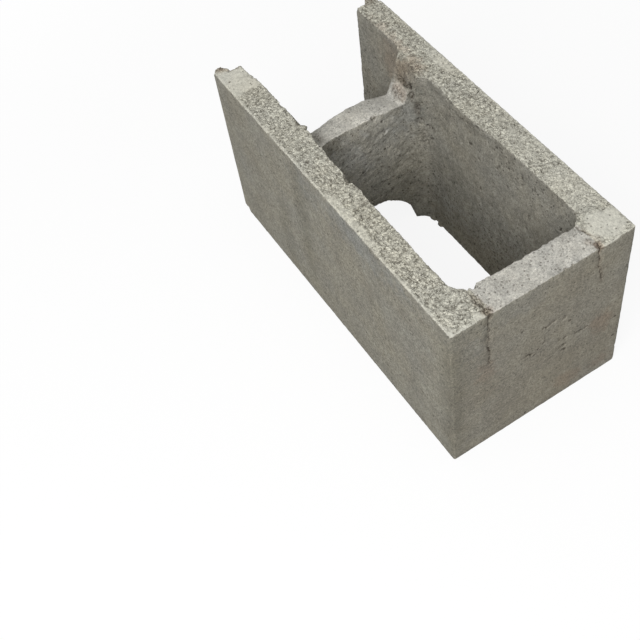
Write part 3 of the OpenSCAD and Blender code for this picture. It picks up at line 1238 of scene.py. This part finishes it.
class DrawnStreaks(Effect):
    """Faint streaks: upright where the mould was drawn off, level where it was filled."""

    name = "drawn_streaks"
    inputs = {"Scale": ("Float", 110.0), "Strength": ("Float", 0.1),
              "Stretch": ("Vector", (1.0, 1.0, 0.13))}
    outputs = {"Shade": "Color"}

    def wire(self, tree: Tree, given: Any) -> dict[str, Socket]:
        """Noise stretched one way, swung about 1.

        Args:
            tree: The group's tree.
            given: Its inputs, by name.

        Returns:
            One socket for each output name.
        """
        long = tree.vector("MULTIPLY", given["Vector"], given["Stretch"])
        return {"Shade": tree.swung(tree.noise(long, given["Scale"], 4.0, 0.6), given["Strength"])}


class GravelBed(Effect):
    """Small stones set side by side, with broken gaps between them, masked for painted shade."""

    name = "gravel_bed"
    inputs = {"Scale": ("Float", 300.0)}
    outputs = {"Tint": "Float", "Gap": "Float", "Height": "Float"}

    def wire(self, tree: Tree, given: Any) -> dict[str, Socket]:
        """Uneven cells: one tint each, gaps along their edges where noise opens them.

        Args:
            tree: The group's tree.
            given: Its inputs, by name.

        Returns:
            One socket for each output name.
        """
        wander = tree.add("TexNoise", {"Vector": given["Vector"], "Scale": 170.0, "Detail": 2.0})
        shift = tree.vector("SUBTRACT", wander.outputs["Color"], (0.5, 0.5, 0.5))
        small = tree.add("VectorMath", {0: shift, "Scale": 0.009}, operation="SCALE").outputs[0]
        uneven = tree.vector("ADD", given["Vector"], small)
        cells = tree.add("TexVoronoi", {"Vector": uneven, "Scale": given["Scale"]}).outputs["Color"]
        tint = tree.add("SeparateColor", {0: cells}).outputs[0]
        edge = tree.add("TexVoronoi", {"Vector": uneven, "Scale": given["Scale"]},
                        feature="DISTANCE_TO_EDGE").outputs["Distance"]
        opening = tree.step(tree.noise(given["Vector"], 240.0, 3.0, 0.6), 0.62, 0.40)
        gap = tree.times(tree.step(edge, 0.15, 0.04), opening)
        return {"Tint": tint, "Gap": gap, "Height": tree.step(edge, 0.0, 0.3)}


MOTTLED, GRAIN, HOLES, PATCH = MottledTone(), SandGrain(), PinHoles(), SoftPatch()
STREAKS, GRAVEL = DrawnStreaks(), GravelBed()


def blank_material(name: str) -> tuple[bpy.types.Material, Tree]:
    """Starts a material.

    Args:
        name: Its name.

    Returns:
        The material, without nodes, and its tree.
    """
    material = bpy.data.materials.new(name)
    material.use_nodes = True
    material.node_tree.nodes.clear()
    return material, Tree(material.node_tree)


# Finishes
# How many clouds, streaks and pocks there are to a metre, then the tints of painted shade in hollows, of
# rust, of stains, of darker patches and of painted light
SMALL_CLOUDS, TONE_CLOUDS = 115.0, 15.0
UPRIGHT_STREAKS, LEVEL_STREAKS = 44.0, 150.0
POCKS = 56.0
# Painted shade: the tint that pits, air holes, stone gaps and cracks darken towards
PAINTED_SHADE_TINT = (0.16, 0.14, 0.12, 1.0)
RUST_TINT = (0.64, 0.51, 0.44, 1.0)
RED = (0.96, 0.86, 0.82, 1.0)
BLUE = (0.95, 0.98, 1.04, 1.0)
# A darker grey that some patches on the faces, the core and the saddle multiply by
DARKER_PATCH = (0.82, 0.82, 0.80, 1.0)
# Painted light: a brightening that the web's near face multiplies by, with a faint blue cast
PAINTED_LIGHT = (1.38, 1.39, 1.43, 1.0)
BROWN = (0.84, 0.78, 0.73, 1.0)


@dataclass(frozen=True)
class Stain:
    """A soft patch of colour on a finish.

    Attributes:
        middle: Its middle, in mm.
        reach: Its half sizes.
        colour: What it tints towards.
        strength: Share of that colour at its middle.
        ragged: How broken its edge is.
    """

    middle: Point
    reach: Point
    colour: Colour
    strength: float
    ragged: float = 1.2


@dataclass(frozen=True)
class Finish:
    """One finish of the concrete.

    Attributes:
        name: Name of the material.
        pale: Its lighter tone, linear.
        deep: Its darker tone.
        patch: Swing of the small mottling, 0 to 1.
        drift: How far the tone drifts between olive and blue-grey.
        grain: Strength of the sand grain in the colour.
        bed: How much the gravel under the skin shows, in tint and in the painted shade of its gaps.
        relief: Depth of the bump, in mm.
        hole_scale: Cells of air holes per metre.
        hole_radius: Size of the holes, in cells.
        hole_share: Share of the cells with a hole.
        cloud: Scale of the large mottling, per metre.
        streak: Strength of the upright and level streaks.
        fine: How fine the sand grain is.
        stone: Stones of the gravel per metre.
        roughness: Roughness of the surface.
        pock_share: Share of the 18 mm cells with a larger hole.
        stains: Patches of other colours.
    """

    name: str
    pale: Colour
    deep: Colour
    patch: float
    drift: float
    grain: float
    bed: float
    relief: float
    hole_scale: float
    hole_radius: float
    hole_share: float
    cloud: float = 26.0
    streak: float = 0.0
    fine: float = 1.3
    stone: float = 300.0
    roughness: float = 0.9
    pock_share: float = 0.0
    stains: tuple[Stain, ...] = ()

    def bedded(self, tree: Tree) -> Any:
        """How much the gravel shows; the stone finish overrides it."""
        return self.bed

    def base(self, tree: Tree, place: Any, gravel: Any) -> Any:
        """Colour before patches, grain, stains and holes; the stone finish overrides it.

        Args:
            tree: The material's tree.
            place: Its place vector.
            gravel: Outputs of the gravel group.

        Returns:
            The colour.
        """
        large = MOTTLED.place(tree, Vector=place, Scale=self.cloud, Pale=self.pale, Deep=self.deep,
                              Sharpness=0.9)
        swing = tree.step(gravel["Tint"], 0.0, 1.0, 1.0 - 0.4 * self.bed, 1.0 + 0.4 * self.bed)
        return tree.tinted(large["Color"], tree.grey(swing))

    def weathered(self, tree: Tree, place: Any, colour: Any) -> Any:
        """Colour with small mottling, drift between tones, streaks and stains.

        Args:
            tree: The material's tree.
            place: Its place vector.
            colour: The colour so far.

        Returns:
            The new colour.
        """
        low, high = 1.0 - self.patch, 1.0 + self.patch
        small = MOTTLED.place(tree, Vector=place, Scale=SMALL_CLOUDS, Pale=(high, high, high, 1.0),
                              Deep=(low, low, low, 1.0), Sharpness=0.8)
        warm, cool = 1.0 + self.drift, 1.0 - self.drift
        tone = MOTTLED.place(tree, Vector=place, Scale=TONE_CLOUDS, Sharpness=0.8,
                             Pale=(warm, 1.0, cool - self.drift, 1.0),
                             Deep=(cool, 1.0, warm + self.drift, 1.0))
        colour = tree.tinted(tree.tinted(colour, small["Color"]), tone["Color"])
        if self.streak:
            upright = STREAKS.place(tree, Vector=place, Scale=UPRIGHT_STREAKS, Strength=1.2 * self.streak)
            level = STREAKS.place(tree, Vector=place, Scale=LEVEL_STREAKS, Strength=self.streak,
                                  Stretch=(0.2, 0.2, 1.0))
            colour = tree.tinted(tree.tinted(colour, upright["Shade"]), level["Shade"])
        for stain in self.stains:
            mask = PATCH.place(tree, Vector=place, Middle=tuple(v * MM for v in stain.middle),
                               Reach=tuple(v * MM for v in stain.reach), Ragged=stain.ragged)["Mask"]
            colour = tree.tinted(colour, stain.colour, tree.times(mask, stain.strength))
        return tree.tinted(colour, RUST_TINT, tree.times(tree.mark(Mark.RUST), 0.75))

    def holes(self, tree: Tree, place: Any) -> Any:
        """Mask of the pin holes and, where the finish has them, of the larger pocks.

        Args:
            tree: The material's tree.
            place: Its place vector.

        Returns:
            The mask.
        """
        pins = HOLES.place(tree, Vector=place, Scale=self.hole_scale, Radius=self.hole_radius,
                           Share=self.hole_share)["Mask"]
        if not self.pock_share:
            return pins
        pocks = HOLES.place(tree, Vector=place, Scale=POCKS, Radius=0.12, Share=self.pock_share)["Mask"]
        return tree.larger(pins, tree.times(pocks, 1.25))

    def build(self) -> bpy.types.Material:
        """The material, with its nodes wired.

        Returns:
            The new material.
        """
        material, tree = blank_material(self.name)
        place = tree.add("TexCoord").outputs["Object"]
        gravel = GRAVEL.place(tree, Vector=place, Scale=self.stone)
        colour = self.weathered(tree, place, self.base(tree, place, gravel))
        grain = GRAIN.place(tree, Vector=place, Strength=self.grain, Fineness=self.fine)
        holes, bed = self.holes(tree, place), self.bedded(tree)
        gaps = tree.times(tree.times(gravel["Gap"], bed), 0.8)
        # Painted shade: air holes, gravel gaps and the hollow mark darken the colour towards the painted
        # shade tint
        dark = tree.larger(tree.times(holes, 0.62), tree.larger(gaps, tree.mark(Mark.HOLLOW)))
        colour = tree.tinted(tree.tinted(colour, grain["Shade"]), PAINTED_SHADE_TINT, tree.times(dark, 0.95))
        height = tree.minus(grain["Height"], tree.times(holes, 1.2))
        height = tree.plus(height, tree.times(gravel["Height"], bed))
        bump = tree.add("Bump", {"Strength": 1.0, "Distance": self.relief * MM, "Height": height})
        rough = tree.step(grain["Height"], 0.3, 0.7, self.roughness - 0.06, min(self.roughness + 0.05, 1.0))
        shader = tree.add("BsdfPrincipled", {"Base Color": colour, "Roughness": rough,
                                             "Normal": bump.outputs[0], "Specular IOR Level": 0.25})
        tree.give(tree.add("OutputMaterial").inputs["Surface"], shader.outputs[0])
        return material


@dataclass(frozen=True)
class OpenStoneFinish(Finish):
    """Finish of the wall tops, with a tint for each stone and paler paste.

    Attributes:
        paste: Colour of the smooth cement paste.
    """

    paste: Colour = field(kw_only=True)

    def bedded(self, tree: Tree) -> Any:
        """Gravel that goes under where paste fills the gaps."""
        return tree.step(tree.mark(Mark.PASTE), 0.2, 0.9, self.bed, 0.12 * self.bed)

    def base(self, tree: Tree, place: Any, gravel: Any) -> Any:
        """Stone tints of the mesh and of the small gravel, with paste in the filled gaps.

        Args:
            tree: The material's tree.
            place: Its place vector.
            gravel: Outputs of the gravel group.

        Returns:
            The colour.
        """
        tint = tree.plus(tree.times(tree.mark(Mark.TONE), 0.65), tree.times(gravel["Tint"], 0.35))
        stones = tree.mix(tree.step(tint, 0.05, 0.95), self.deep, self.pale)
        paste = MOTTLED.place(tree, Vector=place, Scale=self.cloud, Pale=self.paste,
                              Deep=tuple(0.86 * c for c in self.paste[:3]) + (1.0,), Sharpness=1.0)["Color"]
        return tree.mix(tree.times(tree.mark(Mark.PASTE), 0.9), stones, paste)


FINISHES: dict[Zone, Finish] = {
    Zone.CAST: Finish(
        "cast_face", (0.330, 0.314, 0.260, 1.0), (0.278, 0.263, 0.220, 1.0),
        patch=0.11, drift=0.018, streak=0.04, grain=0.58, fine=1.5, bed=0.08, relief=0.35,
        hole_scale=230.0, hole_radius=0.3, hole_share=0.4, pock_share=0.22,
        stains=(
            Stain((-75, -250, 145), (20, 20, 24), RED, 0.6, 2.6),
            Stain((86, -250, 107), (22, 20, 26), RED, 0.8, 2.6),
            Stain((44, -250, 25), (34, 20, 18), RED, 0.6, 2.6),
            Stain((100, -250, 20), (26, 20, 20), RED, 0.6, 2.6),
            Stain((-35, -250, 235), (70, 20, 30), BLUE, 0.8, 2),
            Stain((-95, -250, 205), (28, 20, 38), BLUE, 0.8, 2),
            Stain((-120, -60, 232), (20, 170, 32), BLUE, 0.9, 2),
            Stain((0, -250, 100), (240, 20, 260), (1, 0.975, 0.955, 1), 1, 0.4),
            Stain((-112, -250, 130), (24, 20, 220), DARKER_PATCH, 0.55, 0.8),
            Stain((-78, -250, 240), (46, 20, 24), DARKER_PATCH, 0.55, 1.2),
            Stain((-120, -242, 125), (20, 26, 240), DARKER_PATCH, 0.8, 0.6),
            Stain((-120, -80, 240), (20, 90, 30), BLUE, 0.6, 2.2),
            Stain((-120, 54, 160), (20, 26, 190), DARKER_PATCH, 0.8, 0.8),
            Stain((-120, 110, 60), (20, 26, 90), DARKER_PATCH, 0.5, 1.2),
            # Brown of the broken flank, partly painted shade on its steep upper part
            Stain((70, 114, 236), (16, 24, 30), BROWN, 0.9, 1.2),
        ),
    ),
    Zone.DRAWN: Finish(
        "drawn_core", (0.342, 0.326, 0.275, 1.0), (0.268, 0.255, 0.216, 1.0),
        cloud=34.0, patch=0.2, drift=0.018, streak=0.025, grain=0.56, fine=1.6, bed=0.1, relief=0.45,
        roughness=0.93, hole_scale=230.0, hole_radius=0.36, hole_share=0.42, pock_share=0.4,
        stains=(
            # Painted light over the web's near face
            Stain((0, 87, 150), (92, 10, 135), PAINTED_LIGHT, 1, 1.2),
            Stain((60, 86, 190), (50, 14, 40), BLUE, 0.8, 2.4),
            Stain((-30, 86, 160), (40, 14, 60), BLUE, 0.6, 2.4),
            Stain((84, 150, 215), (14, 50, 50), RED, 0.7, 1.5),
            # Brown of the broken flank, partly painted shade on its steep upper part
            Stain((70, 114, 236), (16, 24, 30), BROWN, 0.9, 1.2),
            Stain((80, 0, 110), (14, 60, 70), DARKER_PATCH, 0.5, 2.4),
            # Painted shade: darker towards the foot of the right wall of the core
            Stain((80, -40, 10), (14, 190, 70), (0.92, 0.90, 0.86, 1), 1, 1.4),
            Stain((73, 82, 195), (14, 16, 50), DARKER_PATCH, 0.9, 1.6),
            # Painted light: brighter again on the left part of the web's near face
            Stain((-34, 86, 145), (46, 14, 90), (1.2, 1.2, 1.21, 1), 1, 1.4),
        ),
    ),
    Zone.OPEN: OpenStoneFinish(
        "open_top", (0.69, 0.674, 0.572, 1.0), (0.36, 0.348, 0.296, 1.0),
        cloud=60.0, patch=0.05, drift=0.01, grain=0.26, bed=1.0, stone=320.0, relief=0.5, roughness=0.92,
        hole_scale=280.0, hole_radius=0.34, hole_share=0.28, paste=(0.60, 0.585, 0.505, 1.0),
        stains=(
            Stain((-104, 243, 250), (20, 9, 14), BROWN, 0.9, 1.6),
            Stain((104, 240, 250), (20, 12, 14), BROWN, 0.6, 2),
            Stain((88, 150, 250), (12, 70, 14), RED, 0.55, 2.4),
            Stain((86, 100, 250), (14, 26, 14), BROWN, 0.4, 2),
            Stain((60, -240, 250), (20, 14, 14), RED, 0.6, 2),
        ),
    ),
    Zone.PRESSED: Finish(
        "pressed_top", (0.575, 0.557, 0.50, 1.0), (0.35, 0.34, 0.307, 1.0),
        cloud=40.0, patch=0.14, drift=0.01, grain=0.5, fine=1.9, bed=0.14, stone=430.0, relief=0.45,
        hole_scale=300.0, hole_radius=0.36, hole_share=0.4,
        stains=(
            Stain((63, 104, 221), (13, 26, 18), BROWN, 0.9, 1.8),
            Stain((-64, 106, 207), (16, 26, 18), DARKER_PATCH, 1, 1.6),
        ),
    ),
}


# The block
@dataclass
class Block:
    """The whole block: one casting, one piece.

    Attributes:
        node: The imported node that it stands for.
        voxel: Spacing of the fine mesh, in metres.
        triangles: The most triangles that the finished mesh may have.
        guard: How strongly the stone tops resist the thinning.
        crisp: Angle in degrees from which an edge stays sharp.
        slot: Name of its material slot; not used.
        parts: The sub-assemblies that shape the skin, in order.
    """

    node: str = "block"
    voxel: float = 0.0009
    triangles: int = 197_000
    guard: float = 1e-3
    crisp: float = 50.0
    slot: str = "concrete"
    parts: tuple[Any, ...] = field(
        default_factory=lambda: (WallTops(), ClosedEnd(), CrossWeb(), CoredFaces(), CastFaces()))

    def make(self) -> bpy.types.Object:
        """Builds and dresses the piece, hangs it under the root body and hides the imported node.

        Returns:
            The finished object.
        """
        fine = self.fine_mesh()
        self.shape(fine)
        piece = self.thinned(fine)
        self.dress(piece)
        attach(piece, "root")
        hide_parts(self.node)
        return piece

    def fine_mesh(self) -> bpy.types.Mesh:
        """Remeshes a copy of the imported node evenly.

        Returns:
            The fine mesh.
        """
        rough = placed("fine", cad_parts[self.node].data.copy())
        remesh = rough.modifiers.new("even", "REMESH")
        remesh.mode, remesh.voxel_size = "VOXEL", self.voxel
        mesh = evaluated(rough)
        bpy.data.objects.remove(rough)
        return mesh

    def shape(self, mesh: bpy.types.Mesh) -> None:
        """Lets each sub-assembly move and mark the vertices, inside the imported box.

        Args:
            mesh: The fine mesh.
        """
        skin = Skin(gathered(mesh.vertices, "co", 3) / MM, gathered(mesh.vertex_normals, "vector", 3))
        for part in self.parts:
            part.shape(skin)
            LOG.info("shaped %s", type(part).__name__)
        mesh.vertices.foreach_set("co", inside_box((skin.p + skin.move) * MM).ravel())
        taken = sum(skin.zones[z] for z in (Zone.OPEN, Zone.PRESSED, Zone.DRAWN))
        skin.zones[Zone.CAST] = np.clip(1.0 - taken, 0.0, 1.0)
        for key, values in (*skin.marks.items(), *skin.zones.items()):
            layer = mesh.attributes.new(key.value, "FLOAT", "POINT")
            layer.data.foreach_set("value", values.astype(np.float32))
        mesh.update()

    def thinned(self, mesh: bpy.types.Mesh) -> bpy.types.Object:
        """Thins the mesh to its triangle budget, keeping the stone tops fine.

        Args:
            mesh: The shaped fine mesh.

        Returns:
            A new object with the thinned mesh.
        """
        holder = placed("fine", mesh)
        thin = holder.modifiers.new("thin", "DECIMATE")
        thin.ratio = self.triangles / (2.0 * len(mesh.polygons))
        stony = gathered(mesh.attributes[Zone.OPEN.value].data, "value")
        freely = holder.vertex_groups.new(name="thin_freely")
        freely.add(np.flatnonzero(stony < 0.5).tolist(), 1.0, "REPLACE")
        freely.add(np.flatnonzero(stony >= 0.5).tolist(), 0.5, "REPLACE")
        thin.vertex_group, thin.vertex_group_factor = freely.name, self.guard
        done = evaluated(holder)
        bpy.data.objects.remove(holder)
        done.vertices.foreach_set("co", inside_box(gathered(done.vertices, "co", 3)).ravel())
        done.update()
        return placed("block_concrete", done)

    def dress(self, piece: bpy.types.Object) -> None:
        """Gives each polygon the finish of its zone and keeps its crisp edges.

        Args:
            piece: The thinned object.
        """
        mesh = piece.data
        mesh.materials.clear()
        for zone in Zone:
            mesh.materials.append(FINISHES[zone].build())
        shares = [gathered(mesh.attributes[zone.value].data, "value") for zone in Zone]
        corners = gathered(mesh.loops, "vertex_index", kind=np.int32)
        starts = gathered(mesh.polygons, "loop_start", kind=np.int32)
        best = np.argmax([np.add.reduceat(share[corners], starts) for share in shares], axis=0)
        mesh.polygons.foreach_set("material_index", best.astype(np.int32))
        for zone in Zone:
            mesh.attributes.remove(mesh.attributes[zone.value])
        mesh.polygons.foreach_set("use_smooth", np.ones(len(mesh.polygons), bool))
        mesh.set_sharp_from_angle(angle=math.radians(self.crisp))


def gathered(items: Any, name: str, width: int = 1, kind: type = np.float32) -> np.ndarray:
    """One property of many mesh items.

    Args:
        items: Vertices, loops, polygons or attribute values.
        name: The property.
        width: How many numbers it has for each item.
        kind: Their type.

    Returns:
        One number for each item, or one row of them.
    """
    values = np.empty(len(items) * width, kind)
    items.foreach_get(name, values)
    return values.reshape(-1, width) if width > 1 else values


def placed(name: str, data: bpy.types.ID) -> bpy.types.Object:
    """Adds an object to the scene.

    Args:
        name: Its name.
        data: Its mesh, camera or light.

    Returns:
        The new object.
    """
    thing = bpy.data.objects.new(name, data)
    bpy.context.scene.collection.objects.link(thing)
    return thing


def inside_box(places: np.ndarray) -> np.ndarray:
    """Places in metres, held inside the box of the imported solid."""
    low, high = (np.array(corner, np.float32) for corner in CAD_BOX)
    return np.clip(places, low, high)


def evaluated(holder: bpy.types.Object) -> bpy.types.Mesh:
    """Mesh of an object with its modifiers applied."""
    depsgraph = bpy.context.evaluated_depsgraph_get()
    return bpy.data.meshes.new_from_object(holder.evaluated_get(depsgraph))


# The studio
@dataclass
class PhotoCamera:
    """Camera at the viewing angle of the photograph.

    Attributes:
        place: Where it stands, in metres.
        turn: Its rotation, in degrees.
        lens: Focal length, in mm.
        sensor: Width of the sensor, in mm.
        shift: Sideways and upright shift.
        clip: Nearest and farthest distance that it sees, in metres.
    """

    place: Point = (-0.47024, -0.76002, 1.14537)
    turn: Point = (37.9769, 5.4113, -32.7315)
    lens: float = 61.851
    sensor: float = 36.0
    shift: tuple[float, float] = (-0.03964, -0.06665)
    clip: tuple[float, float] = (0.05, 50.0)

    def make(self) -> None:
        """Adds the camera and makes it the scene's."""
        data = bpy.data.cameras.new("photo_camera")
        data.lens, data.sensor_width = self.lens, self.sensor
        data.shift_x, data.shift_y = self.shift
        data.clip_start, data.clip_end = self.clip
        camera = placed("photo_camera", data)
        camera.location = self.place
        camera.rotation_euler = [math.radians(a) for a in self.turn]
        bpy.context.scene.camera = camera


@dataclass(frozen=True)
class Lamp:
    """A soft square lamp that looks at the block.

    Attributes:
        name: Its name.
        place: Where it hangs, in metres.
        size: Its side.
        power: Its power, in watts.
        aim: Height above the floor that it looks at.
    """

    name: str
    place: Point
    size: float
    power: float
    aim: float = 0.12

    def hang(self) -> None:
        """Adds the lamp, turned to the middle of the block."""
        data = bpy.data.lights.new(self.name, "AREA")
        data.shape, data.size, data.energy = "SQUARE", self.size, self.power
        lamp = placed(self.name, data)
        lamp.location = self.place
        away = np.array(self.place) - np.array((0.0, 0.0, self.aim))
        yaw = math.atan2(away[1], away[0]) + math.pi / 2
        lamp.rotation_euler = (math.atan2(float(np.hypot(away[0], away[1])), away[2]), 0.0, yaw)


def seen_by_camera(tree: Tree) -> Socket:
    """1 for what the camera sees, straight or by a glossy or clear surface, else 0."""
    ray = tree.add("LightPath").outputs
    return tree.larger(ray["Is Camera Ray"], tree.larger(ray["Is Glossy Ray"], ray["Is Transmission Ray"]))


@dataclass
class Studio:
    """Pale floor, even sky and soft lamps.

    Attributes:
        half: Half side of the floor, in metres.
        sky: Strength of the even light from all round.
        floor_tone: Colour of the floor as the block sees it.
        seen_tone: Colour of the floor as the camera sees it.
        shadow: Share of the floor's own shading that the camera sees.
        near: Distance from the block's middle up to which it sees that share.
        far: Distance from which it sees plain white.
        lamps: The soft lamps.
    """

    half: float = 6.0
    sky: float = 0.33
    floor_tone: Colour = (0.34, 0.34, 0.33, 1.0)
    seen_tone: Colour = (0.95, 0.95, 0.95, 1.0)
    shadow: float = 0.12
    near: float = 0.5
    far: float = 1.1
    lamps: tuple[Lamp, ...] = (
        Lamp("top_lamp", (-0.4, -0.3, 2.6), 2.4, 20.0),
        Lamp("key_lamp", (-1.5, -1.25, 1.9), 1.5, 46.0),
    )

    def make(self) -> None:
        """Lays the floor, sets the sky and hangs the lamps."""
        self.lay_floor()
        self.set_sky()
        for lamp in self.lamps:
            lamp.hang()
        bpy.context.scene.view_settings.view_transform = "Standard"

    def lay_floor(self) -> None:
        """A flat floor that the camera sees white, with the block's shadow kept."""
        mesh = bpy.data.meshes.new("floor")
        h = self.half
        mesh.from_pydata([(-h, -h, 0), (h, -h, 0), (h, h, 0), (-h, h, 0)], [], [(0, 1, 2, 3)])
        floor = placed("floor", mesh)
        material, tree = blank_material("pale_floor")
        seen = seen_by_camera(tree)
        tone = tree.mix(seen, self.floor_tone, self.seen_tone)
        matte = tree.add("BsdfDiffuse", {"Color": tone})
        white = tree.add("Emission", {"Color": (1, 1, 1, 1), "Strength": 1.0})
        away = tree.length(tree.add("TexCoord").outputs["Object"])
        share = tree.times(seen, tree.step(away, self.near, self.far, 1.0 - self.shadow, 1.0))
        both = tree.add("MixShader", {0: share, 1: matte.outputs[0], 2: white.outputs[0]})
        tree.give(tree.add("OutputMaterial").inputs["Surface"], both.outputs[0])
        mesh.materials.append(material)

    def set_sky(self) -> None:
        """Even light from all round, white where the camera looks past the floor."""
        world = bpy.data.worlds.new("studio_sky")
        world.use_nodes = True
        world.node_tree.nodes.clear()
        tree = Tree(world.node_tree)
        strength = tree.add("MapRange", {0: seen_by_camera(tree), 3: self.sky, 4: 1.0}).outputs[0]
        light = tree.add("Background", {"Color": (1, 1, 1, 1), "Strength": strength})
        tree.give(tree.add("OutputWorld").inputs["Surface"], light.outputs[0])
        bpy.context.scene.world = world


def main() -> None:
    """Builds the camera, the studio and the block."""
    logging.basicConfig(level=logging.INFO, format="%(message)s")
    PhotoCamera().make()
    Studio().make()
    piece = Block().make()
    piece.data.calc_loop_triangles()
    LOG.info("made %s with %d triangles", piece.name, len(piece.data.loop_triangles))
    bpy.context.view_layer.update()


if __name__ == "__main__":
    main()
